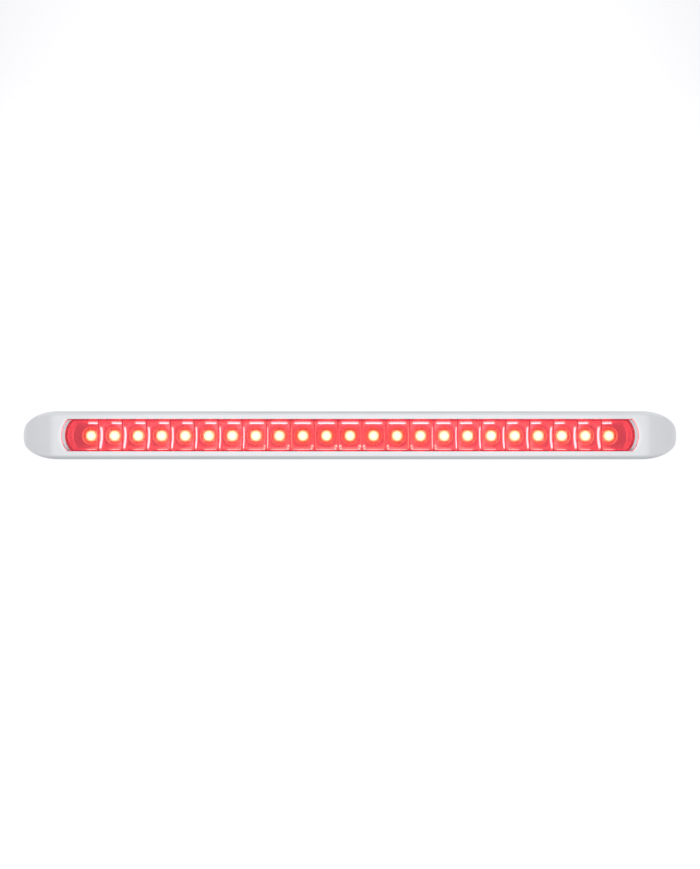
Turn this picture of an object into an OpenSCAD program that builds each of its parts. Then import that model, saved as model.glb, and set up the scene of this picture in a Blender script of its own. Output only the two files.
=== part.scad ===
// Third brake light: a 23-LED reflector light bar with a clip-on bezel.
// X runs along the bar, Z is up and the lens faces -Y.
// The origin is the centre of the rear mounting face.

/* [Overall size] */
// Length over the bezel tips
bar_l = 438.15; // [437:0.05:442]
// Height over the bezel
bar_h = 31.75; // [31.5:0.05:33]
// Depth from the mounting face to the bezel face
bar_d = 25.4; // [25.2:0.1:28]
// Radius of the bezel outline at each tip
tip_r = 10; // [9.5:0.1:11]
// Distance from each tip to where the long edges run straight
shoulder_run = 29.5; // [27.5:0.1:32]

/* [Window] */
// Length of the bezel's window
window_l = 371.6; // [370.6:0.1:372.6]
// Height of the bezel's window
window_h = 20.8; // [20.6:0.1:21.2]
// How far each curved end of the window bulges
window_bulge = 4.5; // [4:0.1:5.5]
// How far the window's curved ends are bevelled outwards at the bezel face
window_bevel = 1.6; // [0.8:0.1:2]
// How far the lens face is set back from the bezel face
lens_recess = 2.4; // [2:0.1:2.8]

/* [LEDs and reflector] */
// Number of LEDs in the row
led_count = 23; // [19:2:23]
// Distance between neighbouring LEDs
led_pitch = 15.7; // [15.2:0.05:15.75]
// Thickness of the ridge between two reflector cells
ridge_t = 0.8; // [0.7:0.1:1.2]
// Radius of the spherical floor of a reflector cell
bowl_r = 13; // [12.6:0.1:13.4]
// Height of a reflector cell's mouth
cell_h = 19.2; // [18:0.1:19.6]

/* [Mounting] */
// Distance between the two mounting screws
screw_spacing = 412.75; // [412:0.05:413.5]
// Radius of the mounting screw holes
screw_hole_r = 2.3; // [2:0.05:2.5]
// Radius of the cable bore in the grommet
cable_r = 2.6; // [2:0.1:3]
// How far the grommet reaches through the mounting panel
grommet_reach = 6; // [4:0.5:10]

/* [Bezel] */
// Wall thickness of the bezel shell
bezel_t = 1.8; // [1.6:0.1:1.9]
// Radius along the bezel's long front edges
bezel_edge_r = 3; // [2.4:0.1:3.4]
// How far the bezel drops from its face to its tips
nose_drop = 17; // [14:0.5:18]

/* [Hidden] */
$fn = 64;
eps = 0.01;
big = 100;

function rounded(v) = round(100 * v) / 100;

// Depths are measured forward from the mounting face.
gasket_t = 1.6;
wall_t = 1.8;
back_front = 3.6;
flange_front = 4.6;
board_back = 6;
board_t = 1.6;
board_front = board_back + board_t;
reflector_front = 20.2;
lens_back = 20.6;
lens_flange_t = 1;
lens_front = bar_d - lens_recess;
lip_back = 22;
panel_gap = 0.4;

// Sideways clearance between the bezel and the lamp body
slide_gap = 0.4;
flange_inset = bezel_t + slide_gap;

// Outline arcs: the shoulder arc leaves the straight edge smoothly. It is drawn just under
// the radius at which it would touch the tip arc, so that the two arcs cross cleanly.
half_l = bar_l / 2;
half_h = bar_h / 2;
straight_x = half_l - shoulder_run;
arc_run = shoulder_run - tip_r;
touching_r = (arc_run * arc_run + half_h * half_h - tip_r * tip_r) / (2 * (half_h - tip_r));
shoulder_r = floor(10 * touching_r) / 10 - 0.3;
window_r = rounded((window_h * window_h / 4 + window_bulge * window_bulge) / (2 * window_bulge));

// Window-shaped outlines, as outsets from the window's edge
tray_out = 3;
tray_in = tray_out - wall_t;
lens_out = 2.6;
lens_gap = 0.5;
lip_t = 1.2;
board_play = 0.5;
reflector_play = 0.2;

// The nose of the bezel is one arc, tangent to the face.
nose_run = 26.5;
nose_x = half_l - nose_run;
nose_r = rounded((nose_run * nose_run + nose_drop * nose_drop) / (2 * nose_drop));

// Reflector cells
cell_w = led_pitch - ridge_t;
bowl_depth = 9.2 + bowl_r;
shell_t = 1.2;
reflector_hole_r = 5.7;
led_span = led_pitch * (led_count - 1);
led_x = [for (i = [0:led_count - 1]) i * led_pitch - led_span / 2];

// Ends
ear_x = screw_spacing / 2;
ear_boss_r = 5.5;
ear_boss_front = 6;
bushing_r = 3.5;
clip_w = 6;
clip_t = 0.5;
clip_x = half_l - 5;
clip_top = 12;
clip_hook = 1.9;
gusset_l = 14;
gusset_t = 1.6;
gusset_z = 8;

// Grommet
grommet_neck_r = 5.5;
grommet_collar_r = 7;
grommet_flange_t = 1.2;
grommet_wall = 1.6;
grommet_step = 0.4;
grommet_recess = 0.3;

// LED package
led_w = 7.6;
led_body_h = 2.6;
led_dome_r = 2.5;
leg_r = 0.3;
leg_reach = 1;
leg_offset = 2.54;
frame_w = 6.2;
frame_t = 0.4;
frame_z = 0.8;
cup_r = 1.2;
cup_h = 0.3;
chip_w = 0.5;
chip_t = 0.15;

// Board hardware
board_screw_x = [for (i = [-1.5, -0.5, 0.5, 1.5]) i * 7 * led_pitch];
board_screw_z = 8.6;
screw_r = 1;
screw_head_r = 1.9;
screw_head_h = 1.3;
screw_l = 4.8;
boss_r = 2.5;
terminal_x = [for (x = [15, 20, 25]) x + led_pitch / 2];
terminal_z = -5;
terminal_r = 0.8;
upper_row_z = 7;
lower_row_z = -6;

module at_depth(d) {
    rotate([90, 0, 0]) translate([0, 0, d]) children();
}

// A plate standing in XZ, from one depth to another
module plate(from, to) {
    at_depth(from) linear_extrude(to - from) children();
}

module mirrored() {
    children();
    mirror([1, 0, 0]) children();
}

// The bezel's outline, moved inwards: straight middle, shoulder arcs and tip arcs
module outline(inset) {
    blend_x = half_l - tip_r + (tip_r - inset) * arc_run / (shoulder_r - tip_r);
    square([2 * straight_x, bar_h - 2 * inset], center = true);
    mirrored() {
        intersection() {
            translate([straight_x, half_h - shoulder_r]) circle(shoulder_r - inset);
            translate([straight_x, shoulder_r - half_h]) circle(shoulder_r - inset);
            translate([straight_x, -half_h]) square([blend_x - straight_x, bar_h]);
        }
        translate([half_l - tip_r, 0]) circle(tip_r - inset);
    }
}

// The window's outline, moved outwards
module window(out) {
    intersection() {
        square([window_l + 2 * out, window_h + 2 * out], center = true);
        union() {
            square([window_l - 2 * window_r, bar_h * 2], center = true);
            mirrored() translate([window_l / 2 - window_r, 0]) circle(window_r + out);
        }
    }
}

// Side view of the bezel, seen along Z: flat face with a nose at each end
module nose_profile(inset) {
    translate([-nose_x, 0]) square([2 * nose_x, bar_d - inset]);
    mirrored() intersection() {
        translate([nose_x, bar_d - nose_r]) circle(nose_r - inset);
        translate([nose_x, 0]) square([nose_run + 2, bar_d]);
    }
}

// Cross-section of the bezel: rounded long edges
module edge_profile(inset) {
    edge_r = bezel_edge_r - inset;
    edge_z = half_h - bezel_edge_r;
    translate([-half_h + inset, 0]) square([bar_h - 2 * inset, bar_d - bezel_edge_r]);
    translate([-edge_z, 0]) square([2 * edge_z, bar_d - inset]);
    mirrored() translate([edge_z, bar_d - bezel_edge_r]) intersection() {
        circle(edge_r);
        square(edge_r);
    }
}

// The solid form of the bezel, moved inwards on every side but the rear
module bezel_form(inset, rear) {
    intersection() {
        plate(rear, bar_d) outline(inset);
        translate([0, 0, -half_h]) linear_extrude(bar_h) mirror([0, 1, 0]) nose_profile(inset);
        rotate([90, 0, 90]) translate([0, 0, -half_l]) linear_extrude(bar_l)
            rotate(90) edge_profile(inset);
    }
}

module bezel() {
    color("silver") {
        difference() {
            bezel_form(0, panel_gap);
            difference() {
                bezel_form(bezel_t, -1);
                plate(lip_back, bar_d) window(lip_t);
            }
            plate(lip_back - 1, bar_d + 1) window(0);
            window_end_bevels();
        }
        mirrored() clip_pad();
    }
}

// Cones that open the window's curved ends from the lens face out to the bezel face
module window_end_bevels() {
    lead = 1;
    step_r = rounded(lead * window_bevel / lens_recess);
    mirrored() intersection() {
        translate([window_l / 2 - window_r, 0, 0]) at_depth(lens_front - lead)
            cylinder(r1 = window_r - step_r, r2 = window_r + window_bevel + step_r,
                h = lens_recess + 2 * lead);
        plate(lip_back - 1, big) translate([0, -window_h / 2]) square([half_l, window_h]);
    }
}

// Pad and stake inside each tip that hold a retaining clip
module clip_pad() {
    pad_top = clip_top - 1;
    pad_bottom = flange_front + 1;
    intersection() {
        plate(pad_bottom, pad_top)
            translate([clip_x, -clip_w / 2 - 1]) square([half_l, clip_w + 2]);
        bezel_form(bezel_t / 2, 0);
    }
    translate([clip_x, -clip_y(), 0]) rotate([0, -90, 0]) {
        translate([0, 0, -eps]) cylinder(r = 1, h = clip_t + eps);
        translate([0, 0, clip_t]) cylinder(r = 1.7, h = 0.7);
    }
}

function clip_y() = (clip_top + flange_front) / 2;

// Spring strip along the tip, hooked under the ear of the housing
module bezel_clips() {
    hook_back = panel_gap + 0.2;
    color("lightsteelblue") mirrored() difference() {
        union() {
            plate(hook_back, clip_top)
                translate([clip_x - clip_t, -clip_w / 2]) square([clip_t, clip_w]);
            plate(hook_back, hook_back + clip_t)
                translate([clip_x - clip_hook, -clip_w / 2]) square([clip_hook, clip_w]);
        }
        translate([clip_x, -clip_y(), 0]) rotate([0, -90, 0])
            translate([0, 0, -1]) cylinder(r = 1, h = clip_t + 2);
    }
}

// Cut at each tip that lets a retaining clip past
module clip_notch(depth_in) {
    mirrored() translate([clip_x - depth_in, -clip_w / 2 - 1]) square([half_l, clip_w + 2]);
}

module housing() {
    color("dimgray") difference() {
        union() {
            plate(gasket_t, flange_front) outline(flange_inset);
            plate(gasket_t, lens_back) window(tray_out);
            for (s = [-1, 1]) translate([s * ear_x, 0, 0])
                plate(gasket_t, ear_boss_front) circle(ear_boss_r);
            ear_gussets();
        }
        difference() {
            plate(back_front, lens_back + 1) window(tray_in);
            board_bosses();
            board_ledges();
        }
        plate(lens_back - 0.8, lens_back + 1) seal_track();
        plate(0, big) for (s = [-1, 1]) translate([s * ear_x, 0]) circle(bushing_r);
        plate(0, big) clip_notch(clip_t + 0.6);
        plate(0, back_front + 1) circle(grommet_neck_r);
        for (x = board_screw_x, s = [-1, 1]) translate([x, 0, s * board_screw_z])
            plate(board_front - screw_l, big) circle(screw_r);
    }
}

// Ribs that brace the tray's end walls on the ears
module ear_gussets() {
    foot = flange_front - 1;
    profile = [[0, foot], [gusset_l, foot], [gusset_l, foot + 2], [tray_out + 4, 12], [0, 16]];
    mirrored() for (s = [-1, 1]) translate([window_l / 2 - 2, 0, s * gusset_z - gusset_t / 2])
        linear_extrude(gusset_t) mirror([0, 1, 0]) polygon(profile);
}

module board_bosses() {
    for (x = board_screw_x, s = [-1, 1]) translate([x, 0, s * board_screw_z])
        plate(back_front - 1, board_back) circle(boss_r);
}

// Low ribs across the tray floor at both ends of the board
module board_ledges() {
    mirrored() plate(back_front - 1, board_back)
        translate([led_span / 2 + 6, -8]) square([1.6, 16]);
}

// Groove for the sealing bead, halfway across the tray's rim
module seal_track() {
    difference() {
        window(tray_out - 0.6);
        window(tray_in + 0.4);
    }
}

module lens_seal() {
    color("gainsboro") plate(lens_back - 0.8, lens_back) seal_track();
}

module mounting_gasket() {
    color("black") difference() {
        plate(0, gasket_t) outline(flange_inset + 0.4);
        plate(-1, gasket_t + 1) {
            for (s = [-1, 1]) translate([s * ear_x, 0]) circle(bushing_r + 0.3);
            circle(grommet_collar_r + 0.4);
            clip_notch(clip_hook + 0.6);
        }
    }
}

module ear_bushings() {
    color("goldenrod") for (s = [-1, 1]) translate([s * ear_x, 0, 0])
        plate(gasket_t, ear_boss_front) difference() {
            circle(bushing_r);
            circle(screw_hole_r);
        }
}

// Grommet: rear collar, neck in the wall, inner flange and a nipple through the panel
module wire_grommet() {
    nipple_r = cable_r + grommet_wall;
    nipple_front = grommet_recess + 0.2;
    color("black") difference() {
        union() {
            plate(back_front, back_front + grommet_flange_t) circle(grommet_collar_r);
            plate(nipple_front, back_front + eps) circle(grommet_neck_r);
            plate(grommet_recess, gasket_t) circle(grommet_collar_r);
            plate(-grommet_reach + 0.6, nipple_front) circle(nipple_r);
            plate(-grommet_reach, nipple_front) circle(nipple_r - grommet_step);
        }
        plate(-grommet_reach - 1, back_front + grommet_flange_t + 1) circle(cable_r);
    }
}

module circuit_board() {
    color("whitesmoke") difference() {
        plate(board_back, board_front) window(tray_in - board_play);
        for (x = led_x, sx = [-1, 1], sz = [-1, 1])
            translate([x + sx * leg_offset, 0, sz * leg_offset])
                plate(board_back - 1, board_front + 1) circle(leg_r + 0.1);
        for (x = board_screw_x, s = [-1, 1]) translate([x, 0, s * board_screw_z])
            plate(board_back - 1, board_front + 1) circle(screw_r + 0.2);
        for (x = terminal_x) translate([x, 0, terminal_z])
            plate(board_back - 1, board_front + 1) circle(terminal_r);
    }
}

module board_screws() {
    color("lightgray") for (x = board_screw_x, s = [-1, 1]) translate([x, 0, s * board_screw_z])
        difference() {
            union() {
                plate(board_front - screw_l, board_front + eps) circle(screw_r);
                plate(board_front, board_front + screw_head_h) circle(screw_head_r);
            }
            plate(board_front + screw_head_h - 0.7, board_front + 2) {
                square([2.2, 0.5], center = true);
                square([0.5, 2.2], center = true);
            }
        }
}

// Metal frame of one LED: plate, four legs and the cup that carries the chip
module led_frame_form(play) {
    plate(board_front + frame_z, board_front + frame_z + frame_t)
        square(frame_w + 2 * play, center = true);
    plate(board_front + frame_z + frame_t - eps, board_front + frame_z + frame_t + cup_h)
        circle(cup_r + play);
    for (sx = [-1, 1], sz = [-1, 1]) translate([sx * leg_offset, 0, sz * leg_offset])
        plate(board_back - leg_reach, board_front + frame_z + eps) circle(leg_r + play);
}

module led_chip_form() {
    chip_back = board_front + frame_z + frame_t + cup_h;
    plate(chip_back, chip_back + chip_t) square(chip_w, center = true);
}

// Clear package of one LED: square base with a round dome
module led_body_form() {
    dome_base = board_front + led_body_h;
    plate(board_front, dome_base) square(led_w, center = true);
    intersection() {
        at_depth(dome_base) sphere(led_dome_r);
        plate(dome_base - eps, dome_base + big) square(led_w, center = true);
    }
}

module led_bodies() {
    color("lavenderblush") for (x = led_x) translate([x, 0, 0]) difference() {
        led_body_form();
        led_frame_form(0);
        led_chip_form();
    }
}

module led_lead_frames() {
    color("lightgray") for (x = led_x) translate([x, 0, 0]) led_frame_form(0);
}

module led_chips() {
    color("tomato") for (x = led_x) translate([x, 0, 0]) led_chip_form();
}

// Solder round each LED leg, on the back of the board
module solder_joints() {
    color("silver") for (x = led_x, sx = [-1, 1], sz = [-1, 1])
        translate([x + sx * leg_offset, 0, sz * leg_offset]) plate(board_back - 0.4, board_back)
            difference() {
                circle(0.8);
                circle(leg_r);
            }
}

// A block on the back of the board
module chip_part(x, z, size) {
    translate([x - size[0] / 2, -board_back, z - size[2] / 2]) cube(size);
}

module string_resistors() {
    color("black") for (s = [-1, 1], i = [2.5:2:8.5])
        chip_part(s * i * led_pitch, upper_row_z, [6.3, 0.7, 3.1]);
}

module current_regulators() {
    color("dimgray") for (s = [-1, 1]) chip_part(s * 2.5 * led_pitch, lower_row_z, [6.6, 2.2, 6]);
}

module steering_diodes() {
    color("black") for (i = [0:2]) chip_part(-(1.2 + i * 0.35) * led_pitch, lower_row_z, [2.6, 2, 4.3]);
}

module surge_suppressor() {
    color("black") chip_part(led_pitch * 4.3, lower_row_z, [3.6, 2.1, 4.6]);
}

module filter_capacitors() {
    color("tan") for (s = [0, 1]) chip_part(led_pitch * (5 + s * 0.4), lower_row_z, [2.5, 1.8, 3.2]);
}

// Solder posts for the three conductors
module wire_terminals() {
    color("gold") for (x = terminal_x) translate([x, 0, terminal_z]) {
        plate(board_back - 1.8, board_front + 0.5) circle(terminal_r);
        plate(board_back - 0.6, board_back) circle(terminal_r + 0.5);
    }
}

// Plan of one cell's mouth; an end cell runs on to the window's curved end
module cell_mouth(i) {
    last = i == 0 || i == led_count - 1;
    outward = i == 0 ? -1 : 1;
    translate([led_x[i], 0]) square([cell_w, cell_h], center = true);
    if (last) intersection() {
        window(-1);
        translate([led_x[i] + (outward < 0 ? -half_l : 0), -cell_h / 2]) square([half_l, cell_h]);
    }
}

module reflector() {
    end_bowl = [0, led_count - 1];
    color("lightpink") difference() {
        union() {
            plate(reflector_front - shell_t, reflector_front) window(tray_in - reflector_play);
            intersection() {
                plate(board_front + 0.4, reflector_front) window(0.2);
                union() {
                    for (x = led_x) translate([x, 0, 0]) intersection() {
                        at_depth(bowl_depth) sphere(bowl_r + shell_t);
                        plate(0, reflector_front) square([led_pitch + eps, window_h], center = true);
                    }
                    for (i = end_bowl) end_trough(i, shell_t);
                }
            }
            for (i = [1:3:led_count - 2]) translate([led_x[i] + led_pitch / 2, 0, 0])
                plate(board_front, bowl_depth - bowl_r + 3) circle(1.2);
        }
        for (i = [0:led_count - 1]) intersection() {
            plate(0, reflector_front + 1) cell_mouth(i);
            union() {
                translate([led_x[i], 0, 0]) at_depth(bowl_depth) sphere(bowl_r);
                if (i == 0 || i == led_count - 1) end_trough(i, 0);
            }
        }
        for (x = led_x) translate([x, 0, 0]) plate(0, bowl_depth) circle(reflector_hole_r);
    }
}

// The end cells' floor: the bowl carried outwards along X
module end_trough(i, grow) {
    outward = i == 0 ? -1 : 1;
    translate([led_x[i] + (outward < 0 ? -half_l : 0), 0, 0]) rotate([90, 0, 90])
        linear_extrude(half_l) translate([-bowl_depth, 0]) circle(bowl_r + grow);
}

module lens() {
    color("red") {
        plate(lens_back, lens_back + lens_flange_t) window(lens_out);
        plate(lens_back + lens_flange_t - eps, lens_front) window(-lens_gap);
    }
}

housing();
mounting_gasket();
ear_bushings();
wire_grommet();
circuit_board();
board_screws();
led_bodies();
led_lead_frames();
led_chips();
string_resistors();
current_regulators();
steering_diodes();
surge_suppressor();
filter_capacitors();
wire_terminals();
solder_joints();
reflector();
lens_seal();
lens();
bezel();
bezel_clips();
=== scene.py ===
import math

import bmesh
import bpy
from bpy.props import FloatProperty, FloatVectorProperty, IntProperty, PointerProperty
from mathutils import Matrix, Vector


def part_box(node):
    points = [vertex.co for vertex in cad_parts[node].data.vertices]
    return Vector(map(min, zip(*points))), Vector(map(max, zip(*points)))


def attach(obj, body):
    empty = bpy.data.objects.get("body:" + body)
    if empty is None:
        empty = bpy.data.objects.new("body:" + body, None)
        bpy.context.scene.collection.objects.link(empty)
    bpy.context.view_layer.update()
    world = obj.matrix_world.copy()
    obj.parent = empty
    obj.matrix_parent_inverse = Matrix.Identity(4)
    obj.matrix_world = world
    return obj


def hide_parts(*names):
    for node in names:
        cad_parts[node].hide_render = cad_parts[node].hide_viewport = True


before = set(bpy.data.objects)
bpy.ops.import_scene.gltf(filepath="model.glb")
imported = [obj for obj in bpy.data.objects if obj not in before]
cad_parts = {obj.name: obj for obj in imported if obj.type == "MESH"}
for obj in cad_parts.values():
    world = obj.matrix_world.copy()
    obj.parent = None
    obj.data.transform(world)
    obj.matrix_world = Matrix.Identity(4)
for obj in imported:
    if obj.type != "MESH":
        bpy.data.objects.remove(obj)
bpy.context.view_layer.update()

bl_info = {
    "name": "Third brake light",
    "version": (1, 0, 0),
    "blender": (4, 5, 0),
    "location": "3D View > Sidebar > Brake light",
    "description": "Builds a slim reflector light bar with a plated clip-on bezel",
    "category": "Object",
}

MM = 0.001
LAMP = "lamp"
BEZEL_BODY = "bezel_body"

# Depths are measured forward from the mounting face, so a depth d lies at y = -d.
BEZEL_LOW, BEZEL_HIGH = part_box("bezel")
HALF_LENGTH = BEZEL_HIGH[0]
HALF_HEIGHT = BEZEL_HIGH[2]
FACE_DEPTH = -BEZEL_LOW[1]
SKIRT_DEPTH = -BEZEL_HIGH[1]
LENS_FRONT = -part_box("lens")[0][1]
LENS_BACK = -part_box("lens")[1][1]
LENS_OUT = 2.6 * MM  # how far the lens's flange reaches past the window
WINDOW_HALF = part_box("lens")[1][0] - LENS_OUT
REFLECTOR_FRONT = -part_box("reflector")[0][1]
BOARD_FRONT = -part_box("circuit_board")[0][1]


# ---------------------------------------------------------------- properties

def length(name, description, millimetres):
    """A length in a PropertyGroup."""
    return FloatProperty(
        name=name, description=description, default=millimetres * MM, unit="LENGTH")


class BrakeLightBezel(bpy.types.PropertyGroup):
    tip_radius: length("Tip radius", "Radius of the outline at each tip", 10.0)
    shoulder_run: length(
        "Shoulder run", "Distance from a tip to where the long edges run straight", 29.5)
    wall: length("Wall", "Thickness of the plated shell", 1.8)
    edge_radius: length("Edge radius", "Rounding along the outer front edge", 3.0)
    nose_run: length("Nose run", "Length of the curved slope at each end", 26.5)
    nose_drop: length("Nose drop", "How far the slope falls towards the tip", 17.0)
    lip_round: length("Lip rounding", "Rounding of the window's edge", 0.35)
    color: FloatVectorProperty(
        name="Plating", description="Colour of the chrome plating", subtype="COLOR",
        size=3, min=0, max=1, default=(0.86, 0.87, 0.885))


class BrakeLightWindow(bpy.types.PropertyGroup):
    height: length("Window height", "Height of the bezel's window", 20.8)
    bulge: length("End bulge", "How far each curved end of the window bulges", 4.5)
    bevel: length("End bevel", "How far the curved ends open out at the bezel's face", 1.6)
    corner: length("Corner radius", "Rounding where the long edges meet the curved ends", 1.5)
    gap: length("Lens gap", "Clearance between the lens and the window", 0.5)
    tint: FloatVectorProperty(
        name="Lens tint", description="What one face of the red lens lets through",
        subtype="COLOR", size=3, min=0, max=1, default=(0.62, 0.19, 0.22))


class BrakeLightLeds(bpy.types.PropertyGroup):
    count: IntProperty(
        name="LED count", description="Number of LEDs in the row", default=23, min=3)
    pitch: length("Pitch", "Distance between neighbouring LEDs", 15.7)
    width: length("Package width", "Width of the square clear package", 7.6)
    body_height: length("Package height", "Height of the square part of the package", 2.6)
    dome_radius: length("Dome radius", "Radius of the round lens on the package", 2.5)
    glow: FloatProperty(
        name="Glow", description="Brightness of a lit LED", default=30.0, min=0)
    glow_radius: length("Glow radius", "Radius of the bright core of a lit LED", 3.35)


class BrakeLightReflector(bpy.types.PropertyGroup):
    ridge: length("Ridge", "Thickness of the ridge between two cells", 0.8)
    mouth_height: length("Mouth height", "Height of a cell's mouth", 19.2)
    bowl_radius: length("Bowl radius", "Radius of the spherical floor of a cell", 13.0)
    hole_radius: length("Hole radius", "Radius of the hole round an LED", 5.6)
    foot_width: length("Foot width", "Width of a cell's floor between its side walls", 14.2)
    foot_height: length("Foot height", "Height of a cell's floor, below its upper cove", 15.4)
    # Painted light: the spill is emission painted on the reflector's walls where an LED's light
    # would fall.
    painted_spill: FloatProperty(
        name="Spill", description="Brightness of the light an LED throws on its cell's walls",
        default=24.0, min=0)


GROUPS = {
    "brake_light_bezel": BrakeLightBezel,
    "brake_light_window": BrakeLightWindow,
    "brake_light_leds": BrakeLightLeds,
    "brake_light_reflector": BrakeLightReflector,
}


# ---------------------------------------------------------------- mesh helpers

def arc(center, radius, start, end, steps):
    """Points along an arc in the XZ plane, both ends included, angles in radians."""
    points = []
    for i in range(steps + 1):
        angle = start + (end - start) * i / steps
        points.append((center[0] + radius * math.cos(angle), center[1] + radius * math.sin(angle)))
    return points


def straight_to_middle(start, steps):
    """Points from start along a long edge to the bar's middle, without start itself."""
    return [(start[0] * (1 - i / steps), start[1]) for i in range(1, steps + 1)]


def quarter_turn(steps, first=0):
    """Sine and cosine at even steps of a quarter turn, starting with the first step wanted."""
    turns = [math.pi / 2 * i / steps for i in range(first, steps + 1)]
    return [(math.sin(turn), math.cos(turn)) for turn in turns]


def whole_loop(quarter):
    """A closed loop from its upper right quarter, which runs from the tip to the middle."""
    upper_left = [(-x, z) for x, z in reversed(quarter[:-1])]
    lower_left = [(-x, -z) for x, z in quarter[1:]]
    lower_right = [(x, -z) for x, z in reversed(quarter[1:-1])]
    return quarter + upper_left + lower_left + lower_right


ARC_STEPS = 14
BLEND_STEPS = 10
EDGE_STEPS = 14


def window_end(window):
    """Centre and radius of the arc at the window's right end."""
    half = window.height / 2
    radius = (half * half + window.bulge * window.bulge) / (2 * window.bulge)
    return WINDOW_HALF - radius, radius


def window_loop(window, out, end=0.0):
    """The window's outline moved outwards, its bulging ends by a further end."""
    half = window.height / 2
    center_x, radius = window_end(window)
    corner = max(window.corner + out, 0.2 * MM)
    reach = radius + out + end - corner
    corner_z = half + out - corner
    corner_x = center_x + math.sqrt(reach * reach - corner_z * corner_z)
    turn = math.atan2(corner_z, corner_x - center_x)
    quarter = arc((center_x, 0), radius + out + end, 0, turn, ARC_STEPS)
    quarter += arc((corner_x, corner_z), corner, turn, math.pi / 2, BLEND_STEPS)[1:]
    quarter += straight_to_middle(quarter[-1], EDGE_STEPS)
    return whole_loop(quarter)


def bezel_loop(bezel, inset):
    """The bezel's outline moved inwards: straight edges, shoulder arcs and tip arcs."""
    tip = bezel.tip_radius
    run = bezel.shoulder_run - tip
    shoulder = (run * run + HALF_HEIGHT ** 2 - tip * tip) / (2 * (HALF_HEIGHT - tip))
    straight_x = HALF_LENGTH - bezel.shoulder_run
    turn = math.atan2(shoulder - HALF_HEIGHT, run)
    quarter = arc((HALF_LENGTH - tip, 0), tip - inset, 0, turn, ARC_STEPS)
    quarter += arc((straight_x, HALF_HEIGHT - shoulder), shoulder - inset,
                   turn, math.pi / 2, BLEND_STEPS)[1:]
    quarter += straight_to_middle(quarter[-1], EDGE_STEPS)
    return whole_loop(quarter)


def mixed_loop(first, second, share):
    """A loop part of the way from one loop to another."""
    return [(a[0] + (b[0] - a[0]) * share, a[1] + (b[1] - a[1]) * share)
            for a, b in zip(first, second)]


def at_depth(loop, depth):
    """Three-dimensional points for a loop; depth is a number or a function of x and z."""
    if callable(depth):
        return [Vector((x, -depth(x, z), z)) for x, z in loop]
    return [Vector((x, -depth, z)) for x, z in loop]


def skin(bm, rings, closed=False, skip=None):
    """Adds rings of points and joins neighbours with quads. Returns the rings of vertices."""
    made = [[bm.verts.new(point) for point in ring] for ring in rings]
    pairs = list(zip(made, made[1:]))
    if closed:
        pairs.append((made[-1], made[0]))
    for index, (lower, upper) in enumerate(pairs):
        for i in range(len(lower)):
            j = (i + 1) % len(lower)
            if skip and skip(index, lower[i].co, lower[j].co):
                continue
            bm.faces.new((lower[i], lower[j], upper[j], upper[i]))
    return made


def cap_with_point(bm, ring, point):
    """Closes a ring with a fan round one point."""
    pole = bm.verts.new(point)
    for i in range(len(ring)):
        bm.faces.new((ring[i], ring[(i + 1) % len(ring)], pole))


def cap_bar(bm, ring, rows, crown):
    """Closes a long ring with columns of quads from its lower to its upper edge."""
    half = len(ring) // 2
    highest = max(vertex.co.z for vertex in ring)
    columns = []
    for i in range(1, half):
        top = ring[i]
        bottom = ring[-i]
        column = [bottom]
        for row in range(1, rows):
            share = row / rows
            point = bottom.co.lerp(top.co, share)
            point.y -= crown * 4 * share * (1 - share) * min(1, top.co.z / highest)
            column.append(bm.verts.new(point))
        column.append(top)
        columns.append(column)
    for left, right in zip(columns, columns[1:]):
        for row in range(rows):
            bm.faces.new((left[row], left[row + 1], right[row + 1], right[row]))
    for tip, column in ((ring[0], columns[0]), (ring[half], columns[-1])):
        for row in range(rows):
            bm.faces.new((tip, column[row], column[row + 1]))


def new_object(name, data):
    """An object at the origin, in the scene's own collection."""
    made = bpy.data.objects.new(name, data)
    bpy.context.scene.collection.objects.link(made)
    return made


def shade(mesh, angle):
    """Smooth shading, but for edges sharper than an angle in degrees."""
    mesh.shade_smooth()
    mesh.set_sharp_from_angle(angle=math.radians(angle))


def finished(name, bm, material):
    """A closed mesh object at the origin, with outward faces and smooth shading."""
    bmesh.ops.remove_doubles(bm, verts=bm.verts, dist=0.002 * MM)
    bmesh.ops.recalc_face_normals(bm, faces=bm.faces)
    mesh = bpy.data.meshes.new(name)
    bm.to_mesh(mesh)
    bm.free()
    mesh.materials.append(material)
    shade(mesh, 35)
    return new_object(name, mesh)


def place(piece, body, node):
    """The piece stands for a node, whose CAD part is hidden, and rides on a body."""
    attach(piece, body)
    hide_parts(node)


# ---------------------------------------------------------------- node helpers

def feed(tree, node, *values, **named):
    """Sets a node's inputs, first in their order and then by name.

    A socket is linked to the input, and anything else becomes its value. An underscore in a
    name stands for a space.
    """
    keys = [*range(len(values)), *(name.replace("_", " ") for name in named)]
    for key, value in zip(keys, (*values, *named.values())):
        if isinstance(value, bpy.types.NodeSocket):
            tree.links.new(value, node.inputs[key])
        else:
            node.inputs[key].default_value = value


def add(tree, kind, *values, operation=None, **named):
    """A new node with its inputs fed."""
    node = tree.nodes.new(kind)
    if operation:
        node.operation = operation
    feed(tree, node, *values, **named)
    return node


def empty_material(name):
    """A material and its empty node tree."""
    material = bpy.data.materials.new(name)
    material.use_nodes = True
    material.node_tree.nodes.clear()
    return material, material.node_tree


def new_material(name):
    """A material, its node tree and the tree's Principled shader."""
    material, tree = empty_material(name)
    shader = add(tree, "ShaderNodeBsdfPrincipled")
    add(tree, "ShaderNodeOutputMaterial", Surface=shader.outputs["BSDF"])
    return material, tree, shader


def object_position(tree, scale=(1, 1, 1)):
    """Object coordinates, stretched by scale."""
    where = add(tree, "ShaderNodeTexCoord").outputs["Object"]
    return add(tree, "ShaderNodeMapping", Vector=where, Scale=scale).outputs["Vector"]


def attribute(tree, name):
    """A number stored on the mesh's points."""
    node = add(tree, "ShaderNodeAttribute")
    node.attribute_name = name
    return node.outputs["Fac"]


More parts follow.
